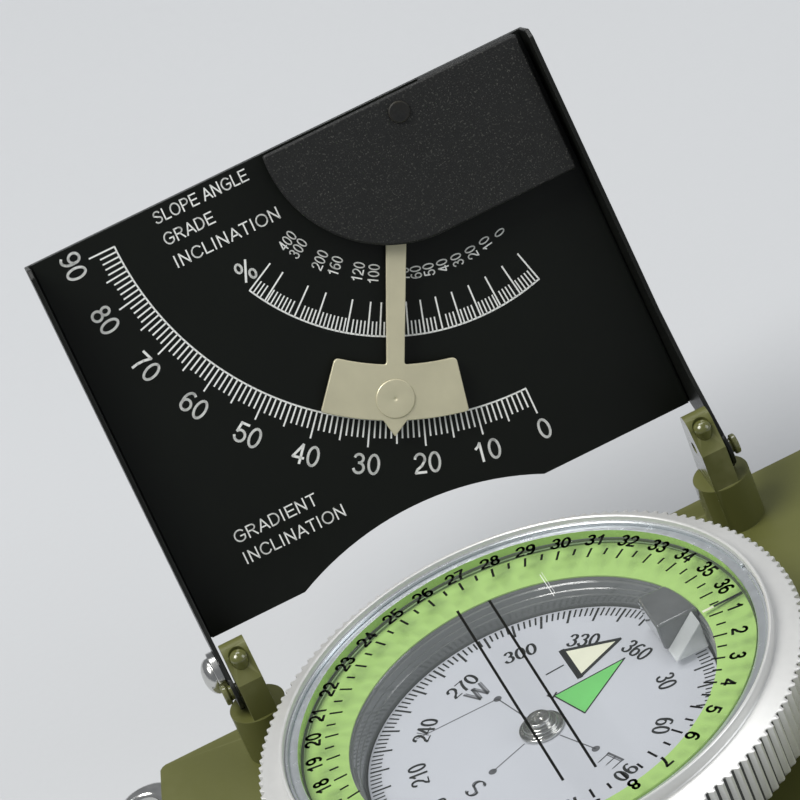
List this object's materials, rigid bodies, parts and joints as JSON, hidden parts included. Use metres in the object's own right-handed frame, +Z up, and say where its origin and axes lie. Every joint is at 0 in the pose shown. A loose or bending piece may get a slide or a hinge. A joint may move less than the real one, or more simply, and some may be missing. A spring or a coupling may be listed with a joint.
{
  "type": "geology compass",
  "caption": "Folding field compass: olive cast base, knurled turning bezel over a floating compass card, and a hinged black lid with a pendulum clinometer.",
  "frame": {"origin": "on the underside of the base, directly below the dial's axis", "axes": "+X along the lid hinge towards the long end of the base, +Y from the dial towards the hinge, +Z up; the lid is at its open stop at rest"},
  "size_m": [0.0843, 0.0797, 0.0614],
  "materials": {
    "olive_paint": "semi-gloss",
    "black_paint": "satin",
    "textured_black": "textured matt",
    "silver": "turned satin",
    "steel": "polished",
    "rivet_black": "satin",
    "glass": "clear",
    "luminous_green": "matt",
    "grey_plastic": "satin",
    "card_white": "matt",
    "nickel": "satin",
    "brass": "polished",
    "ruby": "polished",
    "magnet": "satin",
    "rubber_black": "matt"
  },
  "bodies": {
    "base": {"base_housing": "olive_paint", "bottom_cover": "olive_paint", "bottom_cover_screws": "steel", "capsule_bowl": "grey_plastic", "pivot_needle": "steel", "luminous_ring": "luminous_green", "prism_mount": "grey_plastic", "reading_prism": "glass", "bezel_spring": "steel", "hinge_pins": "olive_paint", "pin_lock_screws": "olive_paint", "lanyard_eye": "steel"},
    "bezel": {"bezel_ring": "silver", "dial_glass": "glass", "glass_retainer": "silver", "glass_gasket": "rubber_black", "snap_ring": "silver"},
    "card": {"compass_card": "card_white", "card_hub": "steel", "jewel_bearing": "ruby", "card_magnets": "magnet"},
    "lid": {"lid_shell": "black_paint", "clinometer_plate": "black_paint", "hub_cover": "textured_black", "pendulum_rivet": "rivet_black", "rivet_washer": "steel", "tab_screw": "steel", "tab_washer": "steel"},
    "pendulum": {"clinometer_pendulum": "nickel", "pendulum_bushing": "brass"}
  },
  "joints": [
    {"name": "lid_hinge", "type": "hinge", "parent": "base", "child": "lid", "pos_m": [0, 0.024, 0.0206], "axis": [1, 0, 0], "range_deg": [0, 112.7]},
    {"name": "bezel_turn", "type": "hinge", "parent": "base", "child": "bezel", "pos_m": [0, 0, 0.02], "axis": [0, 0, 1], "continuous": true},
    {"name": "card_spin", "type": "hinge", "parent": "base", "child": "card", "pos_m": [0, 0, 0.0176], "axis": [0, 0, 1], "continuous": true},
    {"name": "pendulum_swing", "type": "hinge", "parent": "lid", "child": "pendulum", "pos_m": [0.0154, 0.04781, 0.05834], "axis": [0, 0.9225, -0.3859], "range_deg": [-35.6, 64.4]}
  ]
}
